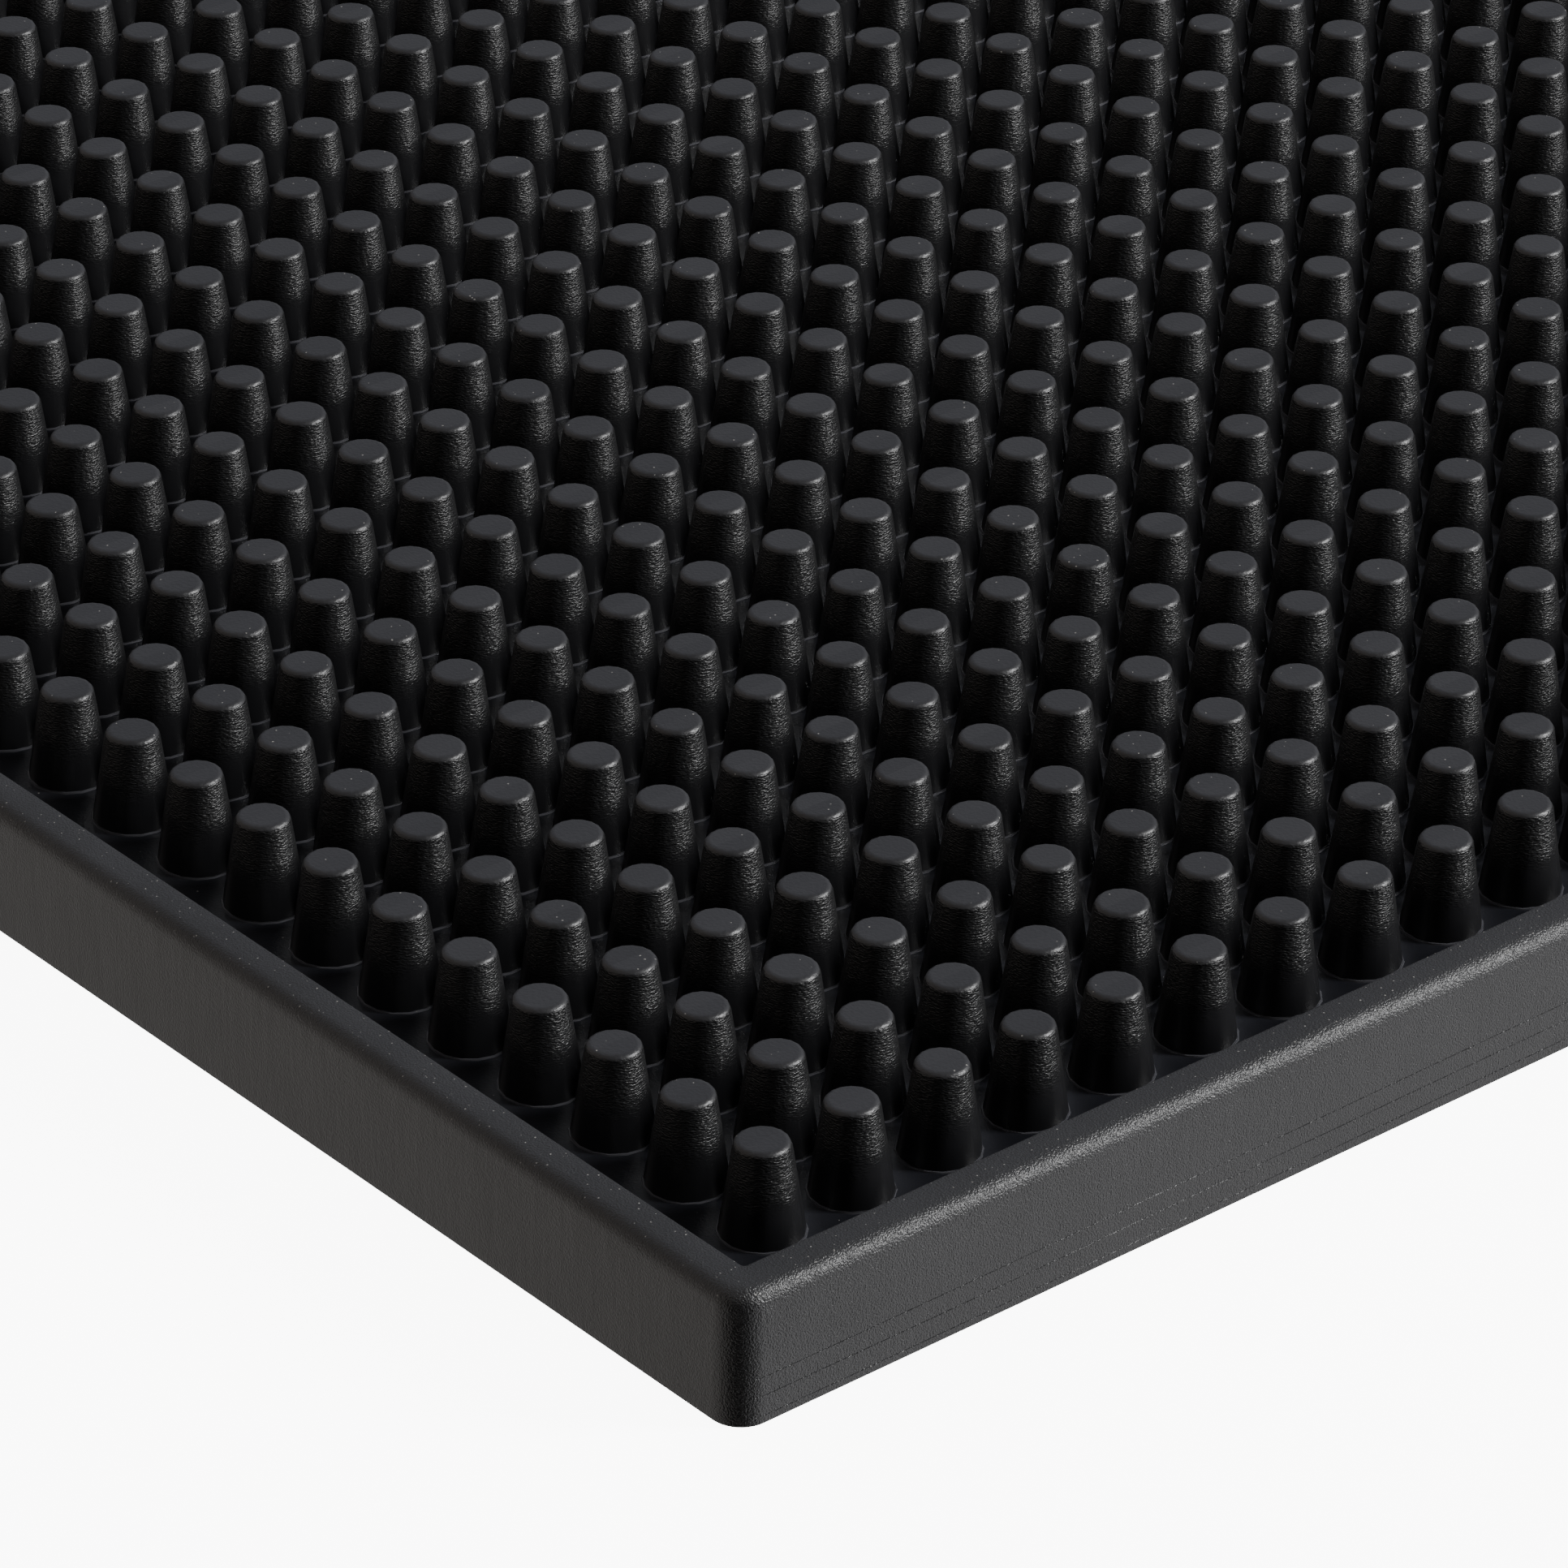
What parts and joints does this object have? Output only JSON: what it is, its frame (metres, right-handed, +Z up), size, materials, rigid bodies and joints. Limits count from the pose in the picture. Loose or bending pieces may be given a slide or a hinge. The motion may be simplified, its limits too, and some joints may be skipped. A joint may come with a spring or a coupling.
{
  "type": "rubber peg mat",
  "caption": "Rectangular black moulded rubber mat: a low upright rim round a flat floor covered in blunt conical pegs on a square grid.",
  "frame": {"origin": "centre of the underside, on the surface that the mat lies on", "axes": "+X along the mat's length, +Y across its width from front to back, +Z up"},
  "size_m": [0.451, 0.299, 0.0114],
  "materials": {
    "rim_rubber": "satin, fine moulded grain",
    "peg_rubber": "satin top, fine toolmarks round the side",
    "floor_rubber": "smooth satin"
  },
  "bodies": {
    "root": {"peg_row_01": "peg_rubber", "peg_row_02": "peg_rubber", "peg_row_03": "peg_rubber", "peg_row_04": "peg_rubber", "peg_row_05": "peg_rubber", "peg_row_06": "peg_rubber", "peg_row_07": "peg_rubber", "peg_row_08": "peg_rubber", "peg_row_09": "peg_rubber", "peg_row_10": "peg_rubber", "peg_row_11": "peg_rubber", "peg_row_12": "peg_rubber", "peg_row_13": "peg_rubber", "peg_row_14": "peg_rubber", "peg_row_15": "peg_rubber", "peg_row_16": "peg_rubber", "peg_row_17": "peg_rubber", "peg_row_18": "peg_rubber", "peg_row_19": "peg_rubber", "peg_row_20": "peg_rubber", "peg_row_21": "peg_rubber", "peg_row_22": "peg_rubber", "peg_row_23": "peg_rubber", "peg_row_24": "peg_rubber", "peg_row_25": "peg_rubber", "peg_row_26": "peg_rubber", "peg_row_27": "peg_rubber", "peg_row_28": "peg_rubber", "peg_row_29": "peg_rubber", "peg_row_30": "peg_rubber", "peg_row_31": "peg_rubber", "peg_row_32": "peg_rubber", "peg_row_33": "peg_rubber", "peg_row_34": "peg_rubber", "peg_row_35": "peg_rubber", "rim_front": "rim_rubber", "rim_back": "rim_rubber", "rim_left": "rim_rubber", "rim_right": "rim_rubber", "gutter_front": "floor_rubber", "gutter_back": "floor_rubber", "gutter_left": "floor_rubber", "gutter_right": "floor_rubber"}
  },
  "joints": []
}
